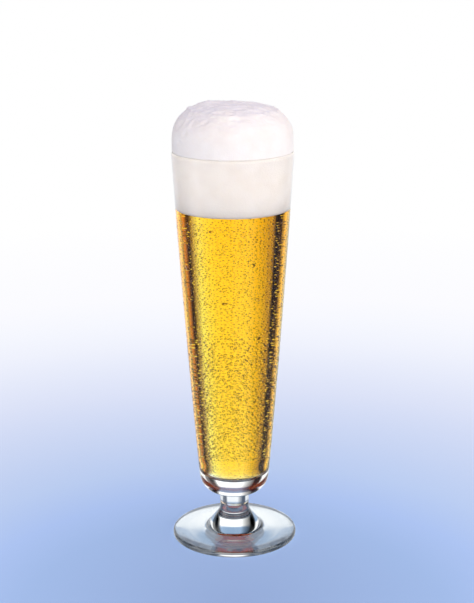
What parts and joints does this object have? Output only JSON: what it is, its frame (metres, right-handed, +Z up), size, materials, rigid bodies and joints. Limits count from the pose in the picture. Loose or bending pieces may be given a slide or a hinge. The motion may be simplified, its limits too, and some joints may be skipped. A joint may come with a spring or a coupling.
{
  "type": "pint of beer in a footed pilsner glass",
  "caption": "Tall tapered clear glass on a short stem and round foot, full of golden lager under a deep white foam head that domes above the lip.",
  "frame": {"origin": "centre of the foot's resting ring, on the surface the glass stands on", "axes": "+Z up along the glass's own axis, from the foot to the lip; +X and +Y are level, and the glass is round about +Z"},
  "size_m": [0.0774, 0.0774, 0.2726],
  "materials": {
    "glass": "clear, polished, with fine cold condensation on the bowl where the beer stands behind it",
    "beer": "clear golden liquid",
    "foam": "matte, fine wet bubbles"
  },
  "bodies": {
    "root": {"glass": "glass", "beer": "beer", "foam": "foam"}
  },
  "joints": []
}
